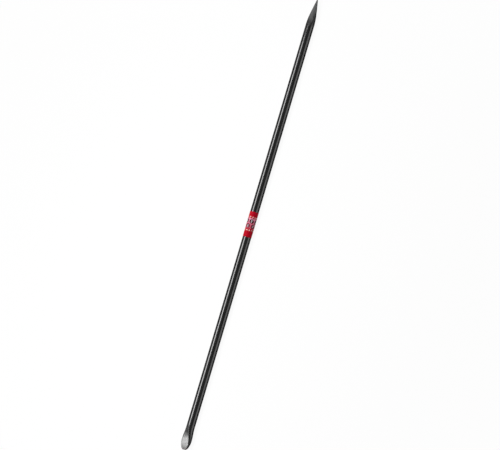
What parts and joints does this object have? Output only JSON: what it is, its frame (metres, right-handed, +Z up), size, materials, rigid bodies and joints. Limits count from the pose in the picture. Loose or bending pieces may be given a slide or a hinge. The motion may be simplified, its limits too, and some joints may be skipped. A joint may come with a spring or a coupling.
{
  "type": "crowbar",
  "caption": "Straight round steel crowbar with a flat chisel forged at one end, a four-sided point at the other and a label wrapped round its middle.",
  "frame": {"origin": "on the surface that the bar lies on, under the middle of its length", "axes": "+X along the bar towards its point, +Y across the chisel's blade, +Z up, square to the blade's middle plane"},
  "size_m": [1.3, 0.031, 0.0248],
  "materials": {
    "black_lacquered_steel": "forged steel with a thin black lacquer, semi-gloss; the chisel's faces are ground bare and pale towards the edge",
    "printed_film": "satin printed film, red, with a band of pink spots that carries dark hexagons between two rows of pale diamonds"
  },
  "bodies": {
    "root": {"forged_bar": "black_lacquered_steel", "label_sleeve": "printed_film"}
  },
  "joints": []
}
